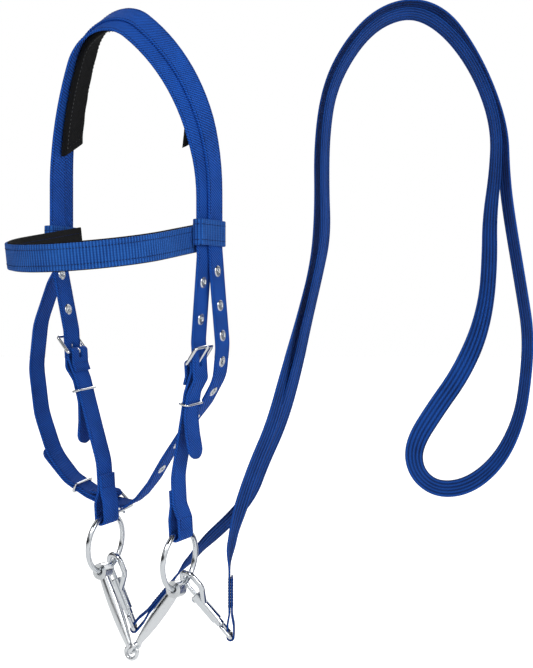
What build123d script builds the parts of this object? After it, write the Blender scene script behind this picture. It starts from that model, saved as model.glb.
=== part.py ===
"""A webbing bridle with a jointed loose-ring bit, two bolt snaps and a one-piece rein.

The frame is +Z up, with -Y to the front, where the browband is, and the origin on the
centre plane, level with the top of the poll pad's underside, where the bridle is held up.
"""

import math
import os

from build123d import *

os.makedirs("parts", exist_ok=True)

# ---------------------------------------------------------------- webbing
webbing_width = 25.0
webbing_thick = 2.5
ply_gap = 0.3  # between two plies that lie face to face
ply_step = webbing_thick + ply_gap

# ---------------------------------------------------------------- crown
pad_thick = 7.0
pad_width = 31.5
pad_front = -8.0
pad_drop = 121.0  # from the poll down to the pad's ends
crown_half_width = 80.0  # clear half width between the pad's faces
crown_top_radius = 0.45 * crown_half_width
crown_top_shift = 0.3 * crown_half_width  # the top of the arch sits this far to the left
crown_left_turn = 70.0  # how far the tight top bend goes round to each side
crown_right_turn = 37.0
crown_drop = 222.0  # from the poll down to just below the browband loops
crown_front = -20.0
ply_overlap = 9.0  # how far the two crown straps lap across their width
crown_lean = 32.0  # the straps lean forward over the poll, in degrees

# ---------------------------------------------------------------- browband
browband_width = 25.0
browband_leg = 66.0
browband_dip = 9.5  # the front hangs lower by this angle
browband_drop = crown_drop - browband_width / 2 - 0.5  # from the poll down to the middle of its loops
browband_sag = 4.0  # the band sits this much lower than its loops
lining_thick = 2.4
lining_width = 27.0
loop_gap = 0.4

# ---------------------------------------------------------------- cheek pieces
cheek_lean = 5.3  # the cheek pieces lean back towards the mouth
right_drop = 11.0  # the straps have slipped this much over to the right
bar_x = 71.0
bar_v = -103.0
loop_x = 45.0
loop_v = -271.0
eyelet_pitch = 36.0
first_eyelet = 43.0  # above the buckle's bar
eyelet_hole = 5.0
eyelet_outside = 11.0
eyelet_lip = 0.8

# ---------------------------------------------------------------- buckles and keepers
buckle_wire = 3.2
buckle_length = 20.0
buckle_tilt = 38.0
buckle_corner = 2.4
buckle_side_gap = 0.8
tongue_wire = 2.8
tongue_gap = 0.3
tongue_open = 6.0  # how far the tongue swings out before the punched strap stops it
tongue_slot_gap = 1.0
keeper_wire = 2.4
keeper_gap = 0.7
keeper_corner = 2.6

# ---------------------------------------------------------------- throatlatch
throat_lean = 10.5
throat_bar = (-66.0, -259.0)
throat_bar_slope = -8.0

# ---------------------------------------------------------------- bit
ring_wire = 5.5
ring_outside = 65.0
ring_loop_gap = 0.5
arm_drop = 75.0
arm_thick = 13.0
arm_thin = 7.5
arm_eye_outside = 17.0
arm_hole_gap = 1.1
link_radius = 6.6
link_wire = 4.4

# ---------------------------------------------------------------- bolt snaps
hook_rod = 6.0
hook_radius = 9.5
snap_angle = 37.0  # where the hooks sit on the rings, from the bottom towards the back
bolt_rod = 4.4
bolt_gap = 0.3
bolt_travel = 9.0
barrel_outside = 11.0
knob_outside = 7.0
eye_wire = 4.0
spring_wire = 0.6

# ---------------------------------------------------------------- rein
rein_width = 20.0
rein_thick = 2.0
rein_gap = 0.6
rein_turn = 30.0  # the reins hang in a vertical plane turned back from the browband
rein_double = 60.0  # length of the stitched double end


def save(part: Part, name: str) -> None:
    """Label one finished piece and write it."""
    part.label = name
    export_step(part, f"parts/{name}.step")


def leaning_plane(y: float, z: float, lean: float) -> Plane:
    """Upright plane facing forward that leans back going down."""
    angle = math.radians(lean)
    return Plane(origin=(0, y, z), x_dir=(1, 0, 0), z_dir=(0, -math.cos(angle), -math.sin(angle)))


def place(plane: Plane, x: float, y: float, z: float = 0) -> Vector:
    """World position of a point given in a plane's own axes."""
    return plane.origin + turn(plane, x, y, z)


def turn(plane: Plane, x: float, y: float, z: float = 0) -> Vector:
    """World direction of a direction given in a plane's own axes."""
    return plane.x_dir * x + plane.y_dir * y + plane.z_dir * z


def strap(plane: Plane, points: list, radii: list, width: float, thick: float) -> None:
    """Add a strap that follows the points, centred on the plane."""
    with BuildSketch(plane.offset(-width / 2)) as outline:
        with BuildLine():
            FilletPolyline(*points, radius=radii)
        trace(line_width=thick)
    extrude(outline.sketch, amount=width)


def wire_frame(plane: Plane, length: float, width: float, wire: float, corner: float) -> None:
    """Add a rounded oblong of round wire, centred on the plane's origin."""
    half_l = length / 2
    half_w = width / 2
    with BuildLine(plane) as loop:
        Polyline(
            (0, -half_w),
            (half_l, -half_w),
            (half_l, half_w),
            (-half_l, half_w),
            (-half_l, -half_w),
            (0, -half_w),
        )
    corners = [v for v in loop.vertices() if abs(plane.to_local_coords(Vector(v)).X) > half_l / 2]
    path = loop.wire().fillet_2d(corner, corners)
    with BuildSketch(Plane(origin=place(plane, 0, -half_w), x_dir=plane.z_dir, z_dir=plane.x_dir)) as section:
        Circle(wire / 2)
    sweep(section.sketch, path=path)


def rod(start: Vector, end: Vector, radius: float) -> None:
    """Add a round rod between two points."""
    with BuildSketch(Plane(origin=start, z_dir=end - start)) as section:
        Circle(radius)
    extrude(section.sketch, amount=(end - start).length)


def bore(start: Vector, end: Vector, radius: float) -> None:
    """Cut a round hole between two points."""
    with BuildSketch(Plane(origin=start, z_dir=end - start)) as section:
        Circle(radius)
    extrude(section.sketch, amount=(end - start).length, mode=Mode.SUBTRACT)


def slab(plane: Plane, size: tuple, centre: tuple, mode: Mode = Mode.ADD) -> None:
    """Add or cut a block given in a plane's own axes."""
    with BuildSketch(Plane(place(plane, *centre), x_dir=plane.x_dir, z_dir=plane.z_dir)) as section:
        Rectangle(size[0], size[1])
    extrude(section.sketch, amount=size[2] / 2, both=True, mode=mode)


# ======================================================================= crown
crown_shear = math.tan(math.radians(crown_lean))
cheek_ply = pad_thick + ply_gap + webbing_thick / 2  # mid-line height of the inner crown strap
throat_ply = cheek_ply + ply_step  # mid-line height of the outer crown strap
cheek_y = crown_front + webbing_width / 2
throat_front = crown_front + webbing_width - ply_overlap
throat_y = throat_front + webbing_width / 2


def flank(half_width: float, top_turn: float) -> tuple:
    """Radius of the gentle bend below the tight one, and the height where it ends."""
    angle = math.radians(top_turn)
    radius = (half_width - crown_top_radius * math.sin(angle)) / (1 - math.sin(angle))
    return radius, crown_top_radius * (1 - math.cos(angle)) + radius * math.cos(angle)


def arch(height: float, leg_end: float, thick: float, front: float, width: float) -> None:
    """Add one ply of the crown: an arch over the poll with a straight leg on each side."""
    side = crown_half_width + height
    back = front + width
    spare = width * crown_shear
    left_radius, left_drop = flank(crown_half_width - crown_top_shift, crown_left_turn)
    right_radius, _ = flank(crown_half_width + crown_top_shift, crown_right_turn)
    own = Plane(origin=(0, back, back * crown_shear), x_dir=(1, 0, 0), z_dir=(0, -1, 0))
    with BuildSketch(own) as outline:
        with BuildLine():
            left = Line((-side, -crown_drop - spare), (-side, -left_drop))
            left_flank = JernArc(left @ 1, left % 1, left_radius + height, crown_left_turn - 90)
            both_turns = crown_left_turn + crown_right_turn
            top = JernArc(left_flank @ 1, left_flank % 1, crown_top_radius + height, -both_turns)
            right_flank = JernArc(top @ 1, top % 1, right_radius + height, crown_right_turn - 90)
            Line(right_flank @ 1, (side, -crown_drop - spare))
        trace(line_width=thick)
    slope = Vector(0, -1, -crown_shear)
    extrude(outline.sketch, amount=width * slope.length, dir=slope.normalized())
    with BuildSketch(Plane.XY.offset(-leg_end)) as below:
        Rectangle(4 * crown_half_width, 8 * webbing_width)
    extrude(below.sketch, amount=-crown_drop, mode=Mode.SUBTRACT)


with BuildPart() as poll_pad:
    arch(pad_thick / 2, pad_drop, pad_thick, pad_front, pad_width)
save(poll_pad.part, "poll_pad")

with BuildPart() as crown_strap:
    arch(cheek_ply, crown_drop, webbing_thick, crown_front, webbing_width)
save(crown_strap.part, "crown_strap")

with BuildPart() as throat_crown:
    arch(throat_ply, crown_drop, webbing_thick, throat_front, webbing_width)
save(throat_crown.part, "throat_crown")

# ======================================================================= browband
dip = math.radians(browband_dip)
browband_plane = Plane(
    origin=(0, 0, -browband_drop - browband_sag),
    x_dir=(1, 0, 0),
    z_dir=(0, -math.sin(dip), math.cos(dip)),
)
loop_inner = crown_half_width + cheek_ply - webbing_thick / 2 - loop_gap
loop_outer = crown_half_width + throat_ply + webbing_thick / 2 + loop_gap
loop_back = throat_front + webbing_width + loop_gap
loop_front = crown_front - loop_gap
browband_x = loop_inner - webbing_thick - ply_gap - webbing_thick / 2
lining_x = browband_x - webbing_thick / 2 - ply_gap - lining_thick / 2


def browband_ply(half_width: float, thick: float, width: float) -> None:
    """Add one ply of the browband: a U that bulges forward."""
    with BuildSketch(browband_plane.offset(-width / 2)) as outline:
        with BuildLine():
            left = Line((-half_width, loop_back), (-half_width, -browband_leg))
            front = JernArc(left @ 1, left % 1, half_width, 180)
            Line(front @ 1, (half_width, loop_back))
        trace(line_width=thick)
    extrude(outline.sketch, amount=width)


with BuildPart() as browband:
    browband_ply(browband_x, webbing_thick, browband_width)
save(browband.part, "browband")

with BuildPart() as browband_lining:
    browband_ply(lining_x, lining_thick, lining_width)
save(browband_lining.part, "browband_lining")

for side_name, side in (("left", -1), ("right", 1)):
    with BuildPart() as browband_loop:
        with BuildSketch(Plane.XY.offset(-browband_drop - browband_width / 2)) as ring_outline:
            with Locations((side * (loop_inner + loop_outer) / 2, (loop_front + loop_back) / 2)):
                clear_x = loop_outer - loop_inner
                clear_y = loop_back - loop_front
                RectangleRounded(clear_x + 2 * webbing_thick, clear_y + 2 * webbing_thick, webbing_thick + 1)
                RectangleRounded(clear_x, clear_y, 1, mode=Mode.SUBTRACT)
        extrude(ring_outline.sketch, amount=browband_width)
    save(browband_loop.part, f"browband_loop_{side_name}")

# ======================================================================= buckles
# A buckle's own plane has its origin on the bar, x out of the strap's face and y towards the
# end that the punched strap comes from. The plane's z runs across the webbing.
fold_radius = buckle_wire / 2 + ply_gap + webbing_thick / 2
billet_n = fold_radius + webbing_thick / 2 + ply_gap + 0.1 + webbing_thick / 2
frame_width = webbing_width + 2 * buckle_side_gap + buckle_wire
tilt = math.radians(buckle_tilt)
frame_dir = (math.sin(tilt), math.cos(tilt))
frame_out = (math.cos(tilt), -math.sin(tilt))
tongue_rise = buckle_wire / 2 + tongue_wire / 2 + 0.15
tongue_across = tongue_wire / 2 / math.sin(tilt)


def tongue_height(n: float, angle: float) -> float:
    """Height above the bar where the tongue's axis crosses a face of the punched strap."""
    reach = (n - tongue_rise * math.cos(angle)) / math.sin(angle)
    return reach * math.cos(angle) - tongue_rise * math.sin(angle)


slot_top = tongue_height(billet_n + webbing_thick / 2, tilt) + tongue_across + tongue_slot_gap
slot_bottom = tongue_height(billet_n - webbing_thick / 2, tilt + math.radians(tongue_open))
slot_bottom -= tongue_across + tongue_slot_gap


def tongue_hole(own: Plane) -> None:
    """Cut the hole of the punched strap that the tongue stands in."""
    height = slot_top - slot_bottom
    size = (webbing_thick * 2, height, tongue_wire + tongue_slot_gap)
    slab(own, size, (billet_n, (slot_top + slot_bottom) / 2, 0), Mode.SUBTRACT)


def fold_slot(own: Plane) -> None:
    """Cut the slot in the folded strap that the tongue's eye turns in."""
    depth = 4 * (fold_radius + webbing_thick)
    slab(own, (depth, 14, tongue_wire + 2 * tongue_slot_gap), (0, 1, 0), Mode.SUBTRACT)


def buckle(own: Plane, name: str) -> None:
    """Write a buckle's frame and its tongue."""
    frame_plane = Plane(
        origin=place(own, *(c * buckle_length / 2 for c in frame_dir)),
        x_dir=turn(own, *frame_dir),
        z_dir=turn(own, *frame_out),
    )
    with BuildPart() as frame:
        wire_frame(frame_plane, buckle_length, frame_width, buckle_wire, buckle_corner)
    save(frame.part, f"buckle_frame_{name}")
    eye_inside = buckle_wire / 2 + tongue_gap
    tip = buckle_length + buckle_wire / 2 + 1.5
    with BuildPart() as tongue:
        with BuildSketch(Plane(own.origin, x_dir=own.x_dir, z_dir=own.z_dir).offset(-tongue_wire / 2)) as eye:
            Circle(eye_inside + 1.5)
        extrude(eye.sketch, amount=tongue_wire)
        start = place(own, *(c * tongue_rise for c in frame_out))
        end = start + turn(own, *(c * tip for c in frame_dir))
        rod(start, end, tongue_wire / 2)
        bore(place(own, 0, 0, -tongue_wire), place(own, 0, 0, tongue_wire), eye_inside)
    save(tongue.part, f"buckle_tongue_{name}")


def keeper(own: Plane, name: str) -> None:
    """Write the sliding loop that holds the strap's tail, lying across the given plane."""
    depth = 2 * webbing_thick + keeper_ply_gap + 2 * keeper_gap + keeper_wire
    width = webbing_width + 2 * keeper_gap + keeper_wire
    across = Plane(origin=own.origin, x_dir=own.x_dir, z_dir=own.y_dir)
    with BuildPart() as loop:
        wire_frame(across, depth, width, keeper_wire, keeper_corner)
    save(loop.part, f"keeper_{name}")


keeper_ply_gap = 0.7
tail_step = webbing_thick + keeper_ply_gap


def eyelets(planes: list, name: str) -> None:
    """Write a row of two-sided metal eyelets, each centred on its plane and facing along its z."""
    lip = webbing_thick / 2 + 0.05
    with BuildPart() as row:
        for face in planes:
            for way in (1, -1):
                with BuildSketch(face.offset(way * lip)) as washer:
                    Circle(eyelet_outside / 2)
                    Circle(eyelet_hole / 2, mode=Mode.SUBTRACT)
                extrude(washer.sketch, amount=way * eyelet_lip)
            with BuildSketch(face.offset(-lip)) as sleeve:
                Circle(eyelet_hole / 2 + 0.5)
                Circle(eyelet_hole / 2, mode=Mode.SUBTRACT)
            extrude(sleeve.sketch, amount=2 * lip)
    save(row.part, name)


def on_run(plane: Plane, start: tuple, end: tuple, height: float) -> Plane:
    """Plane that faces out of a straight run of strap at the given height."""
    run = (Vector(*end) - Vector(*start)).normalized()
    middle = Vector(*start) + run * ((height - start[1]) / run.Y)
    return Plane(
        origin=place(plane, middle.X, middle.Y),
        x_dir=turn(plane, run.X, run.Y),
        z_dir=turn(plane, run.Y, -run.X),
    )


def crown_end(lean: float) -> float:
    """Where a leaning strap starts below the crown's square-cut end."""
    return -webbing_width / 2 * math.tan(math.radians(lean)) - 2 * ply_gap


def punch(planes: list) -> None:
    """Cut the holes that the eyelets are pressed into."""
    for face in planes:
        bore(place(face, 0, 0, -4), place(face, 0, 0, 4), eyelet_hole / 2 + 0.55)


# ======================================================================= cheek pieces
cheek_plane = leaning_plane(cheek_y, -crown_drop, cheek_lean)
cheek_start = crown_half_width + cheek_ply
billet_x = bar_x + billet_n
lower_line = ((bar_x - 5.5, bar_v - 28), (bar_x - 10.5, bar_v - 50))  # straight stretch at the keeper
lower_dir = Vector(*lower_line[1]) - Vector(*lower_line[0])
lower_dir = lower_dir.normalized()
lower_out = Vector(-lower_dir.Y, lower_dir.X)
loop_bend = ring_wire / 2 + 1.5 + webbing_thick / 2
ring_radius = (ring_outside - ring_wire) / 2
ring_sag = ring_outside / 2 - math.sqrt((ring_outside / 2) ** 2 - (webbing_width / 2) ** 2)
loop_bottom = loop_v - ring_wire / 2 - ring_sag - ring_loop_gap - webbing_thick / 2


def cheek_points(side: int, drop: float, points: list) -> list:
    """Mirror points for one side and let them down by that side's drop."""
    return [(side * x, v - drop) for x, v in points]


tail_start = Vector(*lower_line[0]) + lower_out * tail_step
tail_end = Vector(*lower_line[1]) + lower_out * tail_step
for side_name, side, drop in (("left", -1, 0.0), ("right", 1, right_drop)):
    bar = place(cheek_plane, side * bar_x, bar_v - drop)
    own = Plane(origin=bar, x_dir=turn(cheek_plane, side, 0), z_dir=turn(cheek_plane, 0, 0, side))
    upper = [(side * cheek_start, crown_end(cheek_lean)), (side * cheek_start, -9)]
    upper += cheek_points(
        side,
        drop,
        [
            (billet_x, bar_v + 22),
            (billet_x, bar_v - 9),
            (billet_x + 0.3, bar_v - 16),
            (tail_start.X, tail_start.Y),
            (tail_end.X, tail_end.Y),
            (tail_end.X + 1, tail_end.Y - 20),
            (tail_end.X + 4.5, tail_end.Y - 44),
        ],
    )
    holes_from = bar_v - drop + first_eyelet
    faces = [on_run(cheek_plane, upper[1], upper[2], holes_from + step * eyelet_pitch) for step in (0, 1)]
    with BuildPart() as cheek_strap:
        strap(cheek_plane, upper, [20, 20, 14, 7, 14, 30, 30], webbing_width, webbing_thick)
        punch(faces)
        tongue_hole(own)
    save(cheek_strap.part, f"cheek_strap_{side_name}")
    eyelets(faces, f"eyelets_{side_name}")
    lower = cheek_points(
        side,
        drop,
        [
            (bar_x - 5.9, bar_v - 20),
            (bar_x - fold_radius, bar_v - 12),
            (bar_x - fold_radius, bar_v + fold_radius),
            (bar_x + fold_radius, bar_v + fold_radius),
            (bar_x + fold_radius, bar_v - 7),
            lower_line[0],
            lower_line[1],
            (bar_x - 19, bar_v - 85),
            (loop_x, loop_v + 55),
            (loop_x, loop_v + 27),
            (loop_x + loop_bend, loop_v + 13),
            (loop_x + loop_bend, loop_bottom),
            (loop_x - loop_bend, loop_bottom),
            (loop_x - loop_bend, loop_v + 13),
            (loop_x - ply_step, loop_v + 27),
            (loop_x - ply_step, loop_v + 42),
        ],
    )
    fold_arc = fold_radius * 0.98
    loop_arc = loop_bend * 0.98
    lower_radii = [8, fold_arc, fold_arc, 8, 14, 40, 50, 50, 12, 12, loop_arc, loop_arc, 12, 12]
    with BuildPart() as cheek_lower:
        strap(cheek_plane, lower, lower_radii, webbing_width, webbing_thick)
        fold_slot(own)
    save(cheek_lower.part, f"cheek_lower_{side_name}")
    buckle(own, side_name)
    middle = (Vector(*lower_line[0]) + Vector(*lower_line[1])) / 2 + lower_out * tail_step / 2
    run_dir = turn(cheek_plane, side * lower_dir.X, lower_dir.Y)
    out_dir = turn(cheek_plane, side * lower_out.X, lower_out.Y)
    keeper_at = place(cheek_plane, side * middle.X, middle.Y - drop)
    keeper(Plane(origin=keeper_at, x_dir=out_dir, z_dir=out_dir.cross(run_dir)), side_name)

# ======================================================================= throatlatch
throat_plane = leaning_plane(throat_y, -crown_drop, throat_lean)
throat_start = crown_half_width + throat_ply
slope = math.radians(throat_bar_slope)


def at_bar(n: float, up: float) -> tuple:
    """Point beside the throatlatch buckle's bar, in the throatlatch's plane."""
    x = throat_bar[0] + up * math.cos(slope) + n * math.sin(slope)
    return (x, throat_bar[1] + up * math.sin(slope) - n * math.cos(slope))


throat_own = Plane(
    origin=place(throat_plane, *throat_bar),
    x_dir=turn(throat_plane, math.sin(slope), -math.cos(slope)),
    z_dir=turn(throat_plane, 0, 0, 1),
)
throat_join = Vector(*at_bar(0.4, -24))
throat_turn = Vector(-116, -241)
throat_run = (throat_turn - throat_join).normalized()
throat_out = Vector(-throat_run.Y, throat_run.X)
left_path = [
    at_bar(-2.9, -21),
    at_bar(-fold_radius, -12),
    at_bar(-fold_radius, fold_radius),
    at_bar(fold_radius, fold_radius),
    at_bar(fold_radius, -8),
    (throat_join.X, throat_join.Y),
    (throat_turn.X, throat_turn.Y),
    (-136, -216),
    (-147, -172),
    (-147, -122),
    (-134, -74),
    (-throat_start - 18, -30),
    (-throat_start, -8),
    (-throat_start, crown_end(throat_lean)),
]
with BuildPart() as throatlatch_left:
    left_radii = [8, fold_arc, fold_arc, 8, 14, 20, 50, 60, 60, 60, 40, 12]
    strap(throat_plane, left_path, left_radii, webbing_width, webbing_thick)
    fold_slot(throat_own)
save(throatlatch_left.part, "throatlatch_left")

under_join = throat_join + throat_out * tail_step
under_turn = throat_turn + throat_out * tail_step
billet_path = [
    (throat_start, crown_end(throat_lean)),
    (throat_start - 1.4, -45),
    (throat_start - 2.4, -98),
    (82, -130),
    (62, -158),
    (34, -186),
    (10, -214),
    (-10, -240),
    (-27, -257),
    at_bar(billet_n, 24),
    at_bar(billet_n, -12),
    (under_join.X, under_join.Y),
    (under_turn.X, under_turn.Y),
    (-146, -211),
]
billet_radii = [60, 60, 40, 50, 60, 60, 40, 14, 20, 14, 14, 30]
eyelet_heights = [(0, -24), (1, -58), (1, -88), (2, -114), (3, -144), (4, -172), (5, -200), (6, -227)]
throat_faces = [
    on_run(throat_plane, billet_path[run], billet_path[run + 1], height) for run, height in eyelet_heights
]
with BuildPart() as throatlatch_right:
    strap(throat_plane, billet_path, billet_radii, webbing_width, webbing_thick)
    punch(throat_faces)
    tongue_hole(throat_own)
save(throatlatch_right.part, "throatlatch_right")
eyelets(throat_faces, "eyelets_throat")
buckle(throat_own, "throat")
throat_keeper = (throat_join + throat_turn) / 2 + throat_out * tail_step / 2
keeper_out = turn(throat_plane, throat_out.X, throat_out.Y)
keeper_run = turn(throat_plane, throat_run.X, throat_run.Y)
keeper(
    Plane(
        origin=place(throat_plane, throat_keeper.X, throat_keeper.Y),
        x_dir=keeper_out,
        z_dir=keeper_out.cross(keeper_run),
    ),
    "throat",
)

# ======================================================================= bit
bit_slope = math.atan2(right_drop, 2 * loop_x)
bit_across = turn(cheek_plane, math.cos(bit_slope), -math.sin(bit_slope))
bit_up = turn(cheek_plane, math.sin(bit_slope), math.cos(bit_slope))
bit_back = cheek_plane.z_dir * -1
loop_wires = {
    "left": place(cheek_plane, -loop_x, loop_v),
    "right": place(cheek_plane, loop_x, loop_v - right_drop),
}
ring_centres = {name: wire - bit_up * ring_radius for name, wire in loop_wires.items()}
bit_centre = (ring_centres["left"] + ring_centres["right"]) / 2
mouth_up = (Vector(0, 0, 1) - bit_across * bit_across.Z).normalized()  # the mouthpiece hangs plumb
bit_plane = Plane(origin=bit_centre, x_dir=bit_across, z_dir=bit_across.cross(mouth_up))
ring_half_span = (ring_centres["right"] - ring_centres["left"]).length / 2

for side_name, centre in ring_centres.items():
    with BuildPart() as bit_ring:
        ring_start = Plane(origin=centre + bit_up * ring_radius, x_dir=bit_across, z_dir=bit_back)
        with BuildSketch(ring_start) as ring_section:
            Circle(ring_wire / 2)
        revolve(ring_section.sketch, axis=Axis(centre, bit_across), revolution_arc=360)
    save(bit_ring.part, f"bit_ring_{side_name}")

for side_name, side in (("left", -1), ("right", 1)):
    eye_point = Vector(side * ring_half_span, -ring_radius)
    along = (Vector(0, -ring_radius - arm_drop) - eye_point).normalized()
    link_point = Vector(0, -ring_radius - arm_drop)
    if side > 0:
        link_point -= along * link_radius
    shank_end = link_point - along * link_radius
    across = Vector(-along.Y, along.X)
    eye_face = arm_thick / 2 - 0.5
    shank_length = (shank_end - eye_point).length
    arm_axis_plane = Plane(
        origin=place(bit_plane, eye_point.X, eye_point.Y),
        x_dir=turn(bit_plane, along.X, along.Y),
        z_dir=bit_plane.z_dir,
    )
    with BuildPart() as bit_arm:
        with BuildSketch(arm_axis_plane) as half_profile:
            with BuildLine():
                top = Spline(
                    (4, arm_thick * 0.42),
                    (shank_length * 0.35, arm_thick / 2),
                    (shank_length, arm_thin * 0.42),
                )
                Polyline(top @ 1, (shank_length, 0), (4, 0), top @ 0)
            make_face()
        arm_axis = Axis(arm_axis_plane.origin, arm_axis_plane.x_dir)
        revolve(half_profile.sketch, axis=arm_axis, revolution_arc=360)
        with BuildSketch(arm_axis_plane.offset(-eye_face)) as eye_disc:
            Circle(arm_eye_outside / 2)
        eye_solid = extrude(eye_disc.sketch, amount=2 * eye_face)
        link_plane = Plane(
            origin=place(bit_plane, link_point.X, link_point.Y),
            x_dir=arm_axis_plane.x_dir,
            z_dir=bit_plane.z_dir if side < 0 else arm_axis_plane.y_dir,
        )
        with Locations(link_plane):
            Torus(link_radius, link_wire / 2)
        hole = ring_wire / 2 + arm_hole_gap
        bore(place(arm_axis_plane, 0, 0, -arm_thick), place(arm_axis_plane, 0, 0, arm_thick), hole)
    save(bit_arm.part, f"bit_arm_{side_name}")

# ======================================================================= bolt snaps
# A snap's own plane has its origin in the middle of the hook's bend, y up its length and x
# towards its spine. The bolt, the barrel and the swivel share one line on the tip's side.
tip_x = -hook_radius
hook_tip = -4.0
gate = bolt_travel + 3.0
barrel_top = hook_tip - gate
barrel_bottom = barrel_top - 33.0
bolt_tail = barrel_top - 11.0
spring_floor = bolt_tail - bolt_travel - 6.0
head_room = barrel_bottom + 3.0
eye_top = barrel_bottom - 4.5
eye_length = 15.0
eye_width = rein_width + 1.6 + eye_wire
turned = math.radians(rein_turn)
rein_across = Vector(math.cos(turned), math.sin(turned), 0)
rein_depth = Vector(-math.sin(turned), math.cos(turned), 0)
rein_plane = Plane(origin=(0, 0, 0), x_dir=rein_across, z_dir=rein_depth * -1)
snap_sets = {
    "left": (Vector(0.31, 0.18, -0.93), 50.0),
    "right": (Vector(0.56, 0.33, -0.76), 90.0),
}
eye_bars = {}
for side_name, (hang, rein_rise) in snap_sets.items():
    hang = hang.normalized()
    reach = math.radians(snap_angle)
    centre = ring_centres[side_name]
    wire_point = centre + (bit_back * math.sin(reach) - bit_up * math.cos(reach)) * ring_radius
    wire_dir = bit_back * math.cos(reach) + bit_up * math.sin(reach)
    normal = (wire_dir - hang * wire_dir.dot(hang)).normalized()
    spine = (hang * -1).cross(normal)
    if spine.dot(rein_across) < 0:
        normal = normal * -1
        spine = spine * -1
    bend_centre = wire_point + hang * (hook_radius - hook_rod / 2 - ring_wire / 2 - 1.0)
    own = Plane(origin=bend_centre, x_dir=spine, z_dir=normal)
    with BuildPart() as snap_body:
        with BuildLine(own) as hook_line:
            tip = Line((tip_x, hook_tip), (tip_x, 0))
            bend = JernArc(tip @ 1, (0, 1), hook_radius, -180)
            FilletPolyline(bend @ 1, (hook_radius, -12), (tip_x + 2, barrel_top - 12), radius=9)
        tip_plane = Plane(origin=place(own, tip_x, hook_tip), x_dir=own.x_dir, z_dir=own.y_dir)
        with BuildSketch(tip_plane) as rod_section:
            Circle(hook_rod / 2)
        sweep(rod_section.sketch, path=hook_line.wire())
        rod(place(own, tip_x, barrel_bottom), place(own, tip_x, barrel_top), barrel_outside / 2)
        bore_radius = bolt_rod / 2 + bolt_gap
        bore(place(own, tip_x, spring_floor), place(own, tip_x, barrel_top + 1), bore_radius)
        bore(place(own, tip_x, head_room), place(own, tip_x, head_room + 4.6), 3.9)
        bore(place(own, tip_x, barrel_bottom - 1), place(own, tip_x, head_room + 1), 2.3)
        slot_top_y = barrel_top - 1.5
        slot_length = bolt_travel + 4.2
        slab(
            own,
            (barrel_outside, slot_length, 3.6),
            (tip_x - barrel_outside / 2, slot_top_y - slot_length / 2, 0),
            Mode.SUBTRACT,
        )
    save(snap_body.part, f"snap_body_{side_name}")
    with BuildPart() as snap_bolt:
        rod(place(own, tip_x, bolt_tail), place(own, tip_x, hook_tip - 0.3), bolt_rod / 2)
        knob_y = slot_top_y - 2.1
        rod(place(own, tip_x, knob_y), place(own, tip_x - barrel_outside / 2 - 1.0, knob_y), 1.5)
        knob_start = tip_x - barrel_outside / 2 - 0.6
        rod(place(own, knob_start, knob_y), place(own, knob_start - 2.4, knob_y), knob_outside / 2)
    save(snap_bolt.part, f"snap_bolt_{side_name}")
    with BuildPart() as snap_spring:
        coil_radius = bolt_rod / 2 - spring_wire / 2 - 0.1
        coil_height = bolt_tail - bolt_travel - spring_floor - spring_wire - 0.4
        coil_foot = place(own, tip_x, spring_floor + spring_wire / 2 + 0.1)
        with BuildLine() as coil:
            Helix(1.0, coil_height, coil_radius, center=coil_foot, direction=own.y_dir)
        with BuildSketch(Plane(origin=coil.line @ 0, z_dir=coil.line % 0)) as coil_section:
            Circle(spring_wire / 2)
        sweep(coil_section.sketch, path=coil.line)
    save(snap_spring.part, f"snap_spring_{side_name}")
    # the swivel eye
    bar_dir = rein_depth
    eye_centre = place(own, tip_x, eye_top - eye_wire / 2 - eye_length / 2)
    eye_plane = Plane(origin=eye_centre, x_dir=own.y_dir, z_dir=own.y_dir.cross(bar_dir))
    with BuildPart() as snap_eye:
        wire_frame(eye_plane, eye_length, eye_width, eye_wire, 3.0)
        rod(place(own, tip_x, eye_top - 1.5), place(own, tip_x, barrel_bottom - 0.4), 4.2)
        rod(place(own, tip_x, barrel_bottom - 1), place(own, tip_x, head_room + 1.5), 2.0)
        rod(place(own, tip_x, head_room + 0.4), place(own, tip_x, head_room + 3.6), 3.5)
    save(snap_eye.part, f"snap_eye_{side_name}")
    eye_bars[side_name] = (place(eye_plane, -eye_length / 2, 0), rein_rise)

# ======================================================================= rein
rein_fold = eye_wire / 2 + ply_gap + rein_thick / 2
rein_ply = (rein_thick + rein_gap) / 2
rein_ends = {}
for side_name, (bar, rise) in eye_bars.items():
    angle = math.radians(rise)
    rise_dir = rein_across * math.cos(angle) + Vector(0, 0, math.sin(angle))
    own = Plane(origin=bar, x_dir=rise_dir.cross(rein_depth * -1), z_dir=rein_depth * -1)
    fold_points = [
        (rein_ply, rein_double),
        (rein_ply, 22),
        (rein_fold, 11),
        (rein_fold, -rein_fold),
        (-rein_fold, -rein_fold),
        (-rein_fold, 11),
        (-rein_ply, 22),
        (-rein_ply, rein_double + 6),
    ]
    bend_arc = rein_fold * 0.98
    with BuildPart() as rein_end:
        strap(own, fold_points, [14, 14, bend_arc, bend_arc, 14, 14], rein_width, rein_thick)
    save(rein_end.part, f"rein_end_{side_name}")
    rein_ends[side_name] = (place(own, -rein_ply, rein_double + 6), rise_dir)

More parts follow.
